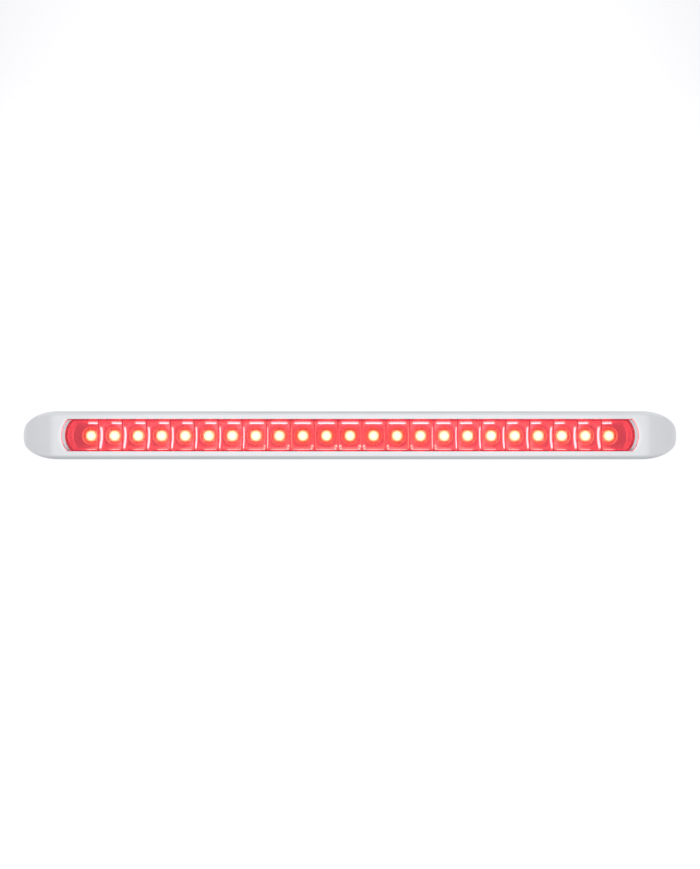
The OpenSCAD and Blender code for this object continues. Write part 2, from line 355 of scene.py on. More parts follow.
def noise(tree, position, scale, detail=3.0, roughness=0.55):
    """A 0 to 1 noise pattern."""
    return add(tree, "ShaderNodeTexNoise", Vector=position, Scale=scale, Detail=detail,
               Roughness=roughness).outputs["Fac"]


def spread(tree, value, low, high):
    """Maps a 0 to 1 pattern to the range from low to high."""
    return add(tree, "ShaderNodeMapRange", Value=value, To_Min=low, To_Max=high).outputs["Result"]


def color_ramp(tree, value, stops):
    """A colour ramp through two or more (position, colour) stops."""
    ramp = add(tree, "ShaderNodeValToRGB", Fac=value)
    elements = ramp.color_ramp.elements
    for index, (position, color) in enumerate(stops):
        element = elements[index] if index < 2 else elements.new(position)
        element.position = position
        element.color = (*color, 1)
    return ramp.outputs["Color"]


def two_tone(tree, value, dark, light, start=0.35, end=0.65):
    """A colour ramp between two colours."""
    return color_ramp(tree, value, ((start, dark), (end, light)))


def bump(tree, height, distance, strength):
    """A bumped normal."""
    return add(tree, "ShaderNodeBump", Strength=strength, Distance=distance,
               Height=height).outputs["Normal"]


# ---------------------------------------------------------------- materials

def plating(color):
    """Chrome plating over moulded plastic: a mirror with a faint ripple and haze."""
    material, tree, shader = new_material("chrome_plating")
    position = object_position(tree)
    haze = noise(tree, position, 45, detail=4)
    light = [min(1.0, c * 1.03) for c in color]
    feed(tree, shader, Metallic=1.0, Base_Color=two_tone(tree, haze, color, light),
         Roughness=spread(tree, haze, 0.07, 0.17),
         Normal=bump(tree, noise(tree, position, 160, detail=2), 0.02 * MM, 0.35))
    return material


def red_lens(tint):
    """Polished red plastic: a tinted window under a clear reflection."""
    material, tree = empty_material("red_lens")
    position = object_position(tree)
    cloud = noise(tree, position, 30, detail=2)
    deep = [c * 0.97 for c in tint]
    through = add(tree, "ShaderNodeBsdfTransparent", Color=two_tone(tree, cloud, deep, tint))
    wave = bump(tree, noise(tree, position, 90, detail=2), 0.02 * MM, 0.3)
    gloss = add(tree, "ShaderNodeBsdfGlossy", Color=(1, 1, 1, 1), Roughness=0.04, Normal=wave)
    # Only the faces seen from outside mirror, so the lens stays clear at a slant.
    side = add(tree, "ShaderNodeNewGeometry").outputs["Backfacing"]
    fresnel = add(tree, "ShaderNodeFresnel", IOR=1.5).outputs["Fac"]
    share = add(tree, "ShaderNodeMath", fresnel, spread(tree, side, 1.0, 0.0),
                operation="MULTIPLY")
    mix = add(tree, "ShaderNodeMixShader", share.outputs["Value"], through.outputs["BSDF"],
              gloss.outputs["BSDF"])
    add(tree, "ShaderNodeOutputMaterial", Surface=mix.outputs["Shader"])
    return material


def metallising(spill_strength):
    """Vacuum-metallised plastic: a soft mirror with painted light as emission, a faint pink glow
    all over and the LEDs' light painted on its walls.
    """
    material, tree, shader = new_material("reflector_metallising")
    position = object_position(tree)
    haze = noise(tree, position, 220, detail=3)
    painted_spill = attribute(tree, "painted_spill")
    # Painted light: pink where nothing more is painted, then orange, then warm white in the
    # brightest painted streaks.
    color = color_ramp(tree, painted_spill, ((0.0, (1.0, 0.45, 0.65)), (0.3, (1.0, 0.6, 0.2)),
                                     (0.85, (1.0, 0.93, 0.8))))
    power = add(tree, "ShaderNodeMath", painted_spill, 1.4, operation="POWER").outputs["Value"]
    # Even where nothing is painted the reflector glows faintly pink, a painted glow; painted
    # streaks and glints glow up to the spill strength.
    feed(tree, shader, Metallic=0.85,
         Base_Color=two_tone(tree, haze, (0.2, 0.2, 0.21), (0.25, 0.25, 0.26)),
         Roughness=spread(tree, haze, 0.24, 0.36),
         Normal=bump(tree, noise(tree, position, 500), 0.02 * MM, 0.3),
         Emission_Color=color, Emission_Strength=spread(tree, power, 1.55, spill_strength))
    return material


def lit_epoxy(strength):
    """Clear LED package lit from inside: a white-hot core with a yellow and orange fringe."""
    material, tree, shader = new_material("lit_led_epoxy")
    cloud = noise(tree, object_position(tree), 600, detail=2)
    glow = attribute(tree, "glow")
    color = color_ramp(tree, glow, ((0.0, (1.0, 0.3, 0.03)), (0.2, (1.0, 0.75, 0.1)),
                                    (0.7, (1.0, 0.95, 0.35)), (1.0, (1.0, 0.98, 0.62))))
    feed(tree, shader, Roughness=spread(tree, cloud, 0.08, 0.16),
         Base_Color=two_tone(tree, cloud, (0.86, 0.76, 0.58), (0.93, 0.84, 0.68)),
         Emission_Color=color, Emission_Strength=spread(tree, glow, 0.7, strength))
    return material


def moulded_plastic(name, color, grain=900, roughness=(0.38, 0.55)):
    """Moulded plastic with a fine satin grain."""
    material, tree, shader = new_material(name)
    position = object_position(tree)
    tone = noise(tree, position, 25, detail=3)
    fine = noise(tree, position, grain, detail=2)
    feed(tree, shader, Base_Color=two_tone(tree, tone, [c * 0.8 for c in color], color),
         Roughness=spread(tree, fine, *roughness), Normal=bump(tree, fine, 0.03 * MM, 0.5))
    return material


def foam():
    """Closed-cell foam: small round pores in a matt skin."""
    material, tree, shader = new_material("closed_cell_foam")
    pores = add(tree, "ShaderNodeTexVoronoi", Vector=object_position(tree),
                Scale=1400.0).outputs["Distance"]
    # The pores' dents are also painted darker than the skin, a painted shade.
    feed(tree, shader, Roughness=0.95, Normal=bump(tree, pores, 0.15 * MM, 0.8),
         Base_Color=two_tone(tree, pores, (0.012, 0.012, 0.013), (0.05, 0.05, 0.053), 0.1, 0.6))
    return material


def soft_rubber(name, color):
    """Moulded rubber with a dusty bloom."""
    material, tree, shader = new_material(name)
    position = object_position(tree)
    bloom = noise(tree, position, 120, detail=5)
    pale = [c * 1.8 + 0.01 for c in color]
    feed(tree, shader, Base_Color=two_tone(tree, bloom, color, pale),
         Roughness=spread(tree, bloom, 0.6, 0.85),
         Normal=bump(tree, noise(tree, position, 700), 0.04 * MM, 0.5))
    return material


def worked_metal(name, color, roughness=(0.2, 0.4), stretch=(1, 1, 1)):
    """Metal with fine tool marks; stretch sets which way they run."""
    material, tree, shader = new_material(name)
    marks = noise(tree, object_position(tree, stretch), 900, detail=4)
    feed(tree, shader, Metallic=1.0,
         Base_Color=two_tone(tree, marks, [c * 0.75 for c in color], color),
         Roughness=spread(tree, marks, *roughness), Normal=bump(tree, marks, 0.01 * MM, 0.5))
    return material


def board_laminate():
    """White solder mask with the copper tracks faintly raised under it."""
    material, tree, shader = new_material("board_laminate")
    where = add(tree, "ShaderNodeTexCoord").outputs["Object"]
    facing = add(tree, "ShaderNodeMapping", Vector=where, Rotation=(math.pi / 2, 0, 0))
    tracks = add(tree, "ShaderNodeTexBrick", Vector=facing.outputs["Vector"], Scale=1.0,
                 Mortar_Size=0.0009, Brick_Width=0.0157, Row_Height=0.0046,
                 Color1=(0.82, 0.82, 0.79, 1), Color2=(0.79, 0.79, 0.75, 1),
                 Mortar=(0.66, 0.67, 0.6, 1))
    weave = noise(tree, object_position(tree), 700, detail=2)
    feed(tree, shader, Base_Color=tracks.outputs["Color"],
         Roughness=spread(tree, weave, 0.28, 0.42),
         Normal=bump(tree, tracks.outputs["Fac"], 0.05 * MM, 0.6))
    return material


# ---------------------------------------------------------------- geometry nodes

def row_tree(name, extra=False):
    """Repeats the incoming mesh along X, joins an extra mesh, welds and sets a material.

    Returns the tree and its inputs' identifiers by label.
    """
    tree = bpy.data.node_groups.new(name, "GeometryNodeTree")
    kinds = {"Geometry": "Geometry", "Count": "Int", "Pitch": "Float",
             "Weld distance": "Float", "Material": "Material"}
    if extra:
        kinds["Extra object"] = "Object"
    identifiers = {}
    for label, kind in kinds.items():
        socket = tree.interface.new_socket(label, in_out="INPUT", socket_type="NodeSocket" + kind)
        identifiers[label] = socket.identifier
    tree.interface.new_socket("Geometry", in_out="OUTPUT", socket_type="NodeSocketGeometry")

    given = add(tree, "NodeGroupInput").outputs
    gaps = add(tree, "ShaderNodeMath", given["Count"], 1, operation="SUBTRACT")
    span = add(tree, "ShaderNodeMath", gaps.outputs[0], given["Pitch"], operation="MULTIPLY")
    start = add(tree, "ShaderNodeMath", span.outputs[0], -0.5, operation="MULTIPLY")
    first = add(tree, "ShaderNodeCombineXYZ", X=start.outputs[0])
    step = add(tree, "ShaderNodeCombineXYZ", X=given["Pitch"])
    line = add(tree, "GeometryNodeMeshLine", Count=given["Count"],
               Start_Location=first.outputs[0], Offset=step.outputs[0])
    copies = add(tree, "GeometryNodeInstanceOnPoints", Points=line.outputs["Mesh"],
                 Instance=given["Geometry"])
    joined = copies.outputs["Instances"]
    if extra:
        other = add(tree, "GeometryNodeObjectInfo", Object=given["Extra object"])
        join = add(tree, "GeometryNodeJoinGeometry", joined)
        feed(tree, join, other.outputs["Geometry"])
        joined = join.outputs[0]
    real = add(tree, "GeometryNodeRealizeInstances", joined)
    weld = add(tree, "GeometryNodeMergeByDistance", Geometry=real.outputs[0],
               Distance=given["Weld distance"])
    painted = add(tree, "GeometryNodeSetMaterial", Geometry=weld.outputs[0],
                  Material=given["Material"])
    add(tree, "NodeGroupOutput", painted.outputs[0])
    return tree, identifiers


def repeated(source, tree_parts, values, name):
    """Runs a row tree on the source mesh and returns the result as a plain object."""
    tree, identifiers = tree_parts
    modifier = source.modifiers.new("Row", "NODES")
    modifier.node_group = tree
    for label, value in values.items():
        modifier[identifiers[label]] = value
    graph = bpy.context.evaluated_depsgraph_get()
    mesh = bpy.data.meshes.new_from_object(source.evaluated_get(graph))
    mesh.name = name
    source.modifiers.remove(modifier)
    bpy.data.objects.remove(source)
    return new_object(name, mesh)


# ---------------------------------------------------------------- shapes

def nose_depth(bezel):
    """The bezel's face: flat along the window, then one arc down to each tip."""
    start = HALF_LENGTH - bezel.nose_run
    radius = (bezel.nose_run ** 2 + bezel.nose_drop ** 2) / (2 * bezel.nose_drop)

    def depth(x, z):
        past = max(0.0, min(abs(x) - start, bezel.nose_run))
        return FACE_DEPTH - radius + math.sqrt(radius * radius - past * past)

    return depth


def bezel_rings(bezel, window):
    """Rings round the bezel's wall: outside from the skirt to the lip, then back inside."""
    face = nose_depth(bezel)
    edge = bezel.edge_radius
    lip = bezel.lip_round
    wall = bezel.wall
    lip_wall = 1.2 * MM
    lip_back = 22.0 * MM
    rim = 0.25 * MM
    rings = []

    def ring(loop, depth):
        rings.append(at_depth(loop, depth))

    def behind_face(fall):
        return lambda x, z: face(x, z) - fall

    ring(bezel_loop(bezel, rim), SKIRT_DEPTH)
    ring(bezel_loop(bezel, 0), SKIRT_DEPTH + rim)
    ring(bezel_loop(bezel, 0), SKIRT_DEPTH + 2 * rim)
    for sine, cosine in quarter_turn(8):
        ring(bezel_loop(bezel, edge * (1 - cosine)), behind_face(edge * (1 - sine)))
    outer = bezel_loop(bezel, edge)
    inner = window_loop(window, lip, window.bevel)
    for i in range(1, 13):
        ring(mixed_loop(outer, inner, i / 12), face)
    for sine, cosine in quarter_turn(5, 1):
        ring(window_loop(window, lip * (1 - sine), window.bevel), behind_face(lip * (1 - cosine)))
    for i in range(1, 5):
        share = i / 4
        depth = FACE_DEPTH - lip + (LENS_FRONT - FACE_DEPTH + lip) * share
        ring(window_loop(window, 0, window.bevel * (1 - share)), depth)
    ring(window_loop(window, 0), lip_back + rim)
    ring(window_loop(window, rim), lip_back)
    back_lip = window_loop(window, lip_wall)
    ring(back_lip, lip_back)
    for i in range(7):
        ring(mixed_loop(back_lip, outer, i / 6), behind_face(wall))
    inner_edge = edge - wall
    for sine, cosine in quarter_turn(4, 1):
        ring(bezel_loop(bezel, edge - inner_edge * sine),
             behind_face(wall + inner_edge * (1 - cosine)))
    ring(bezel_loop(bezel, wall), SKIRT_DEPTH)
    return rings


def add_prism(bm, profile, half):
    """A closed prism along Z. The profile's points are (x, depth)."""
    rings = [[Vector((x, -depth, z)) for x, depth in profile] for z in (-half, half)]
    made = skin(bm, rings)
    bm.faces.new(made[0])
    bm.faces.new(made[1])


def add_turned(bm, profile, axis_point, along, steps=32):
    """A closed turned shape. The profile's points are (distance along the axis, radius)."""
    along = Vector(along).normalized()
    side = along.orthogonal().normalized()
    up = along.cross(side)
    rings = []
    for reach, radius in profile:
        ring = []
        for i in range(steps):
            turn = 2 * math.pi * i / steps
            ring.append(Vector(axis_point) + along * reach
                        + (side * math.cos(turn) + up * math.sin(turn)) * radius)
        rings.append(ring)
    made = skin(bm, rings)
    cap_with_point(bm, made[0], Vector(axis_point) + along * profile[0][0])
    cap_with_point(bm, made[-1], Vector(axis_point) + along * profile[-1][0])


def square_samples(per_side):
    """Points round a square of half-width 1, per_side on each side."""
    rising = [-1 + 2 * i / per_side for i in range(per_side)]
    falling = [1 - 2 * i / per_side for i in range(per_side)]
    return ([(1.0, z) for z in rising] + [(x, 1.0) for x in falling]
            + [(-1.0, z) for z in falling] + [(x, -1.0) for x in rising])


def rounded_box_loop(samples, half_x, half_z, roundness):
    """A loop between a rectangle (roundness 0) and an ellipse (roundness 1)."""
    loop = []
    for sx, sz in samples:
        reach = math.hypot(sx, sz)
        round_x = sx / reach
        round_z = sz / reach
        loop.append((half_x * (sx + (round_x - sx) * roundness),
                     half_z * (sz + (round_z - sz) * roundness)))
    return loop


BOWL_BOTTOM = 9.2 * MM
SHELL_THICKNESS = 1.2 * MM
# The curve between a cell's floor and its walls: (share of the way out, slope in degrees).
COVE = ((0.15, 40), (0.38, 45), (0.62, 47), (0.85, 49), (1.0, 66))
# Where a cell's painted light changes: how far above and below the LED the painted streaks start,
# how far to its sides the walls' painted light starts, the depth behind which the painted corner
# glints lie, and how many cells from the middle they reach.
UPPER_STREAK = 7.7 * MM
LOWER_STREAK = 8.9 * MM
SIDE_WALL = 7 * MM
GLINT_DEPTH = 15.5 * MM
LAST_GLINT_CELL = 4


def smooth(low, high, value):
    """0 below low, 1 above high and a smooth step between."""
    share = min(1.0, max(0.0, (value - low) / (high - low)))
    return share * share * (3 - 2 * share)


def side_wall_spill(z, rise):
    """Painted light on a side wall, at height z and a share of the way from its foot to the mouth.

    It fades towards the mouth, sooner beside the LED, and at the wall's top and bottom.
    """
    reach = 0.66 + 0.28 * smooth(2 * MM, 7 * MM, abs(z))
    top = 1 - smooth(4.8 * MM, 6.6 * MM, z)
    bottom = 1 - smooth(8.2 * MM, 9.4 * MM, -z)
    return (1 - smooth(reach - 0.2, reach + 0.12, rise)) * top * bottom


def trimmed_spill(x, depth, z, painted_spill, index):
    """Adapts a cell's painted light to its place in the row; x is measured from its own LED.

    The painted streaks above and below an LED fill a middle cell. Further out they shrink and lean
    towards the middle of the bar. The painted light on the side walls is dimmer in the middle
    cells. The cells near the middle have a painted glint in the lower corner on their inward side.
    """
    away = abs(index)
    inward = abs(x) if index == 0 else -math.copysign(1, index) * x
    if z > UPPER_STREAK or z < -LOWER_STREAK:
        lean = 2.2 * MM * smooth(1, 6, away)
        half = 3.2 * MM + 3.6 * MM * (1 - smooth(0, 8, away))
        return painted_spill * (1 - smooth(half, half + 0.9 * MM, abs(inward - lean)))
    if painted_spill and abs(x) > SIDE_WALL:
        return painted_spill * (0.2 + 0.8 * smooth(1, 4, away))
    if away <= LAST_GLINT_CELL and depth < GLINT_DEPTH and z < 0:
        low = 1 - smooth(-6.6 * MM, -5.8 * MM, z)
        return max(painted_spill, 0.9 * low * smooth(5.2 * MM, 6 * MM, inward))
    return painted_spill


def cell_rings(reflector, leds, window, end):
    """Rings of one reflector cell, from the LED hole out over the front and back behind.

    Each ring is a list of (point, painted light on it). An end cell runs outwards, towards +X, to
    the window's curved end.
    """
    samples = square_samples(20)
    half_mouth = (leds.pitch - reflector.ridge) / 2
    half_high = reflector.mouth_height / 2
    bowl_center = BOWL_BOTTOM + reflector.bowl_radius
    tile_half = leds.pitch / 2
    tile_high = 11.6 * MM
    foot_x = reflector.foot_width / 2
    foot_z = reflector.foot_height / 2
    base_x = half_mouth - 0.12 * MM
    base_z = half_high - 0.7 * MM
    last_x = leds.pitch * (leds.count - 1) / 2
    center_x, end_radius = window_end(window)
    front = REFLECTOR_FRONT
    back = front - SHELL_THICKNESS
    lip = 0.25 * MM

    def stretched(loop, half_x, inset):
        """Carries the outward half of a loop to the window's end."""
        if not end:
            return loop
        carried = []
        for x, z in loop:
            reach = center_x - last_x + math.sqrt(max((end_radius - inset) ** 2 - z * z, 0))
            carried.append((x if x <= 0 else x * reach / half_x, z))
        return carried

    def bowl(x, z):
        if end and x > 0:
            x = x * foot_x / (WINDOW_HALF - last_x)
        return bowl_center - math.sqrt(max(reflector.bowl_radius ** 2 - x * x - z * z, 0))

    def flat(loop, depth, painted_spill=0.0):
        return [(point, painted_spill) for point in at_depth(loop, depth)]

    def rim(loop, depth):
        """Painted light on the hole's rim, strongest below the LED."""
        return [(point, 0.42 - 0.14 * smooth(-1 * MM, 4 * MM, point.z))
                for point in at_depth(loop, depth)]

    hole = rounded_box_loop(samples, reflector.hole_radius, reflector.hole_radius, 1)
    foot = stretched(rounded_box_loop(samples, foot_x, foot_z, 0.16), foot_x, 1.5 * MM)
    base = stretched(rounded_box_loop(samples, base_x, base_z, 0.08), base_x, 1.2 * MM)
    mouth = stretched(rounded_box_loop(samples, half_mouth, half_high, 0.04), half_mouth, 1 * MM)
    tile = stretched(rounded_box_loop(samples, tile_half, tile_high, 0), tile_half, -1 * MM)

    # The hole's back ring gets a little painted light, and its rim more.
    rings = [flat(hole, 8.2 * MM, 0.1),
             rim(hole, lambda x, z: bowl(x, z) - 0.2 * MM)]
    for i in range(9):
        share = i / 8
        grow = 1 + 0.02 * (i == 0)
        loop = [(x * grow, z * grow) for x, z in mixed_loop(hole, foot, share)]
        rings.append(flat(loop, bowl) if i else rim(loop, bowl))

    depths = [bowl(x, z) for x, z in foot]
    before = foot
    for share, slope in COVE:
        loop = mixed_loop(foot, base, share)
        depths = [depth + math.tan(math.radians(slope)) * math.dist(a, b)
                  for depth, a, b in zip(depths, before, loop)]
        before = loop
        points = [Vector((x, -depth, z)) for (x, z), depth in zip(loop, depths)]
        # A painted streak of light along the upper cove, above the LED.
        rings.append([(point, 1.0 if share < 1 and point.z > foot_z else 0.0)
                      for point in points])

    wall_steps = 12
    for i in range(1, wall_steps + 1):
        rise = i / wall_steps
        ring = []
        for (x, z), (foot_of_wall, _), start in zip(mixed_loop(base, mouth, rise), base, depths):
            on_side = not end or x < 0
            side = smooth(0.82, 0.95, abs(foot_of_wall) / base_x) if on_side else 0.0
            point = Vector((x, -start - (front - lip - start) * rise, z))
            # Painted light low on the lower wall and, through side, on the side walls.
            below = 0.75 if z < -base_z and rise < 0.8 else 0.0
            ring.append((point, max(below, side * side_wall_spill(z, rise))))
        rings.append(ring)
    for sine, cosine in quarter_turn(3, 1):
        grow = (1 - cosine) * lip
        loop = [(x + math.copysign(grow, x), z + math.copysign(grow, z)) for x, z in mouth]
        rings.append(flat(loop, front - lip + lip * sine))
    rings.append(flat(tile, front))
    rings.append(flat(tile, back))
    rings.append(flat(mixed_loop(mouth, tile, 0.4), back))
    behind = mixed_loop(foot, mouth, 0.7)
    rings.append(flat(behind, lambda x, z: min(back - 1 * MM, bowl(x, z))))
    rings.append(flat([(x * 1.12, z * 1.12) for x, z in hole], 9.0 * MM))
    return rings


def cell_mesh(name, rings, tile_half, end):
    """Closes a cell's rings, leaving open the sides where it meets its neighbours."""
    bm = bmesh.new()
    front_edge = len(rings) - 5  # the ring round the cell's front, before its outer edge

    def open_side(index, a, b):
        def on_line(x):
            return max(abs(a.x - x), abs(b.x - x)) < 1e-7
        return index == front_edge and (on_line(-tile_half) or (on_line(tile_half) and not end))

    layer = bm.verts.layers.float.new("painted_spill")
    made = skin(bm, [[point for point, painted_spill in ring] for ring in rings], closed=True,
                skip=open_side)
    for ring, vertices in zip(rings, made):
        for (point, painted_spill), vertex in zip(ring, vertices):
            vertex[layer] = painted_spill
    mesh = bpy.data.meshes.new(name)
    bm.to_mesh(mesh)
    bm.free()
    return mesh


# ---------------------------------------------------------------- operators

class BRAKELIGHT_OT_bezel(bpy.types.Operator):
    """Build the plated clip-on bezel"""
    bl_idname = "brakelight.bezel"
    bl_label = "Bezel"

    def execute(self, context):
        bezel = context.scene.brake_light_bezel
        window = context.scene.brake_light_window
        chrome = plating(bezel.color)
        bm = bmesh.new()
        skin(bm, bezel_rings(bezel, window), closed=True)
        for side in (-1, 1):
            self.add_clip_pad(bm, side)
        shell = finished("bezel_shell", bm, chrome)
        place(shell, BEZEL_BODY, "bezel")
        return {"FINISHED"}

    def add_clip_pad(self, bm, side):
        """Pad and staked post inside a tip, which hold a retaining clip."""
        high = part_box("bezel_clips")[1]
        face_x = high[0]
        half = high[2] + 1 * MM
        root_x = HALF_LENGTH - 1.5 * MM
        pad = ((face_x, 5.6 * MM), (root_x, 5.6 * MM), (root_x, 9.2 * MM), (face_x, 11 * MM))
        add_prism(bm, [(side * x, depth) for x, depth in pad], half)
        profile = [(-0.4 * MM, 1.0 * MM), (0.5 * MM, 1.0 * MM), (0.55 * MM, 1.6 * MM),
                   (0.8 * MM, 1.7 * MM), (1.1 * MM, 1.3 * MM), (1.2 * MM, 0.6 * MM)]
        add_turned(bm, profile, (side * face_x, -8.3 * MM, 0), (-side, 0, 0))


class BRAKELIGHT_OT_lens(bpy.types.Operator):
    """Build the red lens"""
    bl_idname = "brakelight.lens"
    bl_label = "Lens"

    def execute(self, context):
        window = context.scene.brake_light_window
        flange_front = LENS_BACK + 1.0 * MM
        rounding = 0.9 * MM
        crown = 0.25 * MM
        shoulder = LENS_FRONT - crown
        bm = bmesh.new()
        rings = [at_depth(window_loop(window, LENS_OUT - 0.2 * MM), LENS_BACK),
                 at_depth(window_loop(window, LENS_OUT), LENS_BACK + 0.2 * MM),
                 at_depth(window_loop(window, LENS_OUT), flange_front - 0.2 * MM),
                 at_depth(window_loop(window, LENS_OUT - 0.2 * MM), flange_front),
                 at_depth(window_loop(window, -window.gap + 0.2 * MM), flange_front),
                 at_depth(window_loop(window, -window.gap), flange_front + 0.2 * MM)]
        for sine, cosine in quarter_turn(6):
            inset = window.gap + rounding * (1 - cosine)
            rings.append(at_depth(window_loop(window, -inset), shoulder - rounding * (1 - sine)))
        made = skin(bm, rings)
        cap_bar(bm, made[-1], 12, crown)
        cap_bar(bm, made[0], 12, 0)
        cover = finished("lens_cover", bm, red_lens(window.tint))
        place(cover, LAMP, "lens")
        return {"FINISHED"}


class BRAKELIGHT_OT_reflector(bpy.types.Operator):
    """Build the metallised reflector as a welded row of cells"""
    bl_idname = "brakelight.reflector"
    bl_label = "Reflector"

    def execute(self, context):
        scene = context.scene
        leds = scene.brake_light_leds
        reflector = scene.brake_light_reflector
        window = scene.brake_light_window
        tile_half = leds.pitch / 2
        cell = cell_mesh("cell", cell_rings(reflector, leds, window, False), tile_half, False)
        source = new_object("cell", cell)
        ends = self.end_cells(reflector, leds, window, tile_half)
        values = {"Count": leds.count - 2, "Pitch": leds.pitch, "Weld distance": 0.005 * MM,
                  "Material": metallising(reflector.painted_spill), "Extra object": ends}
        row = repeated(source, row_tree("Reflector cells", extra=True), values, "reflector_row")
        bpy.data.objects.remove(ends)
        bm = bmesh.new()
        bm.from_mesh(row.data)
        bmesh.ops.recalc_face_normals(bm, faces=bm.faces)
        layer = bm.verts.layers.float["painted_spill"]
        last = (leds.count - 1) // 2
        for vertex in bm.verts:
            x, y, z = vertex.co
            index = max(-last, min(last, round(x / leds.pitch)))
            # Behind the floor's lowest point, the cells keep the painted light they were made
            # with.
            if y < -BOWL_BOTTOM:
                vertex[layer] = trimmed_spill(x - index * leds.pitch, -y, z, vertex[layer], index)
        bm.to_mesh(row.data)
        bm.free()
        shade(row.data, 38)
        place(row, LAMP, "reflector")
        return {"FINISHED"}

    def end_cells(self, reflector, leds, window, tile_half):
        """The two end cells in one object, mirror images of each other."""
        mesh = cell_mesh("end_cell", cell_rings(reflector, leds, window, True), tile_half, True)
        bm = bmesh.new()
        last_x = leds.pitch * (leds.count - 1) / 2
        bm.from_mesh(mesh)
        bmesh.ops.translate(bm, vec=(last_x, 0, 0), verts=bm.verts)
        copy = bmesh.ops.duplicate(bm, geom=bm.verts[:] + bm.edges[:] + bm.faces[:])
        copied = [item for item in copy["geom"] if isinstance(item, bmesh.types.BMVert)]
        bmesh.ops.scale(bm, vec=(-1, 1, 1), verts=copied)
        bm.to_mesh(mesh)
        bm.free()
        return new_object("end_cells", mesh)


class BRAKELIGHT_OT_leds(bpy.types.Operator):
    """Build the row of lit LED packages"""
    bl_idname = "brakelight.leds"
    bl_label = "LEDs"

    def execute(self, context):
        leds = context.scene.brake_light_leds
        samples = square_samples(10)
        half = leds.width / 2
        base = BOARD_FRONT
        top = base + leds.body_height
        edge = 0.2 * MM
        rings = [at_depth(rounded_box_loop(samples, half, half, 0.08), base),
                 at_depth(rounded_box_loop(samples, half, half, 0.08), top - edge),
                 at_depth(rounded_box_loop(samples, half - edge, half - edge, 0.1), top)]
        for i in range(1, 9):
            size = half - edge + (leds.dome_radius - half + edge) * i / 8
            rings.append(at_depth(rounded_box_loop(samples, size, size, 0.1 + 0.1125 * i), top))
        for sine, cosine in quarter_turn(8, 1)[:-1]:
            radius = leds.dome_radius * cosine
            rings.append(at_depth(rounded_box_loop(samples, radius, radius, 1),
                                  top + leds.dome_radius * sine))
        bm = bmesh.new()
        made = skin(bm, rings)
        cap_with_point(bm, made[-1], (0, -top - leds.dome_radius, 0))
        cap_with_point(bm, made[0], (0, -base, 0))
        epoxy = lit_epoxy(leds.glow)
        one = finished("one_led", bm, epoxy)
        glow = one.data.attributes.new("glow", "FLOAT", "POINT")
        for vertex in one.data.vertices:
            radius = math.hypot(vertex.co.x, vertex.co.z)
            glow.data[vertex.index].value = math.exp(-(radius / leds.glow_radius) ** 5)
        values = {"Count": leds.count, "Pitch": leds.pitch, "Weld distance": 0.0,
                  "Material": epoxy}
        row = repeated(one, row_tree("LED row"), values, "led_row")
        place(row, LAMP, "led_bodies")
        return {"FINISHED"}


class BRAKELIGHT_OT_grommet(bpy.types.Operator):
    """Build the ribbed rubber cable grommet"""
    bl_idname = "brakelight.grommet"
    bl_label = "Cable grommet"

    def execute(self, context):
        low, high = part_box("wire_grommet")
        front = -low[1]
        rear = -high[1]
        bore = 2.6 * MM
        collar = high[0]
        neck = 5.5 * MM
        nipple = bore + 1.6 * MM
        soft = 0.25 * MM
        profile = [(front, bore), (front, collar - soft), (front - soft, collar),
                   (front - 1.2 * MM + soft, collar), (front - 1.2 * MM, collar - soft),
                   (front - 1.2 * MM, neck), (1.6 * MM, neck), (1.6 * MM, collar - soft),
                   (1.6 * MM - soft, collar), (0.3 * MM + soft, collar - 0.3 * MM),
                   (0.3 * MM, collar - 2 * soft), (0.3 * MM, nipple + 0.4 * MM),
                   (0.0, nipple)]
        ribs = 4
        groove = 0.25 * MM
        pitch = (-rear - 1.0 * MM) / ribs
        for i in range(ribs):
            start = -i * pitch
            profile += [(start - 0.45 * pitch, nipple - groove),
                        (start - 0.55 * pitch, nipple - groove),
                        (start - 0.7 * pitch, nipple), (start - pitch, nipple)]
        profile += [(rear + 0.3 * MM, nipple - 0.15 * MM), (rear, nipple - 0.5 * MM),
                    (rear, bore + soft), (rear + soft, bore)]
        rings = []
        steps = 56
        for depth, radius in profile:
            rings.append([Vector((radius * math.cos(2 * math.pi * i / steps), -depth,
                                  radius * math.sin(2 * math.pi * i / steps)))
                          for i in range(steps)])
        bm = bmesh.new()
        skin(bm, rings, closed=True)
        rubber = soft_rubber("grommet_rubber", (0.018, 0.018, 0.019))
        gland = finished("grommet_ribbed", bm, rubber)
        place(gland, LAMP, "wire_grommet")
        return {"FINISHED"}


def paint(node, material):
    """Gives a CAD node a material in every slot."""
    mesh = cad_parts[node].data
    if not mesh.materials:
        mesh.materials.append(material)
    for index in range(len(mesh.materials)):
        mesh.materials[index] = material


class BRAKELIGHT_OT_housing(bpy.types.Operator):
    """Finish the housing, its gasket, screw sleeves, sealing bead and bezel clips"""
    bl_idname = "brakelight.housing"
    bl_label = "Housing finishes"

    def execute(self, context):
        paint("housing", moulded_plastic("black_housing_plastic", (0.022, 0.022, 0.024)))
        paint("mounting_gasket", foam())
        paint("ear_bushings", worked_metal("turned_brass", (0.78, 0.57, 0.24), stretch=(1, 9, 1)))
        paint("lens_seal", soft_rubber("seal_silicone", (0.62, 0.62, 0.6)))
        paint("bezel_clips", worked_metal("spring_steel", (0.62, 0.63, 0.65), stretch=(1, 1, 12)))
        return {"FINISHED"}


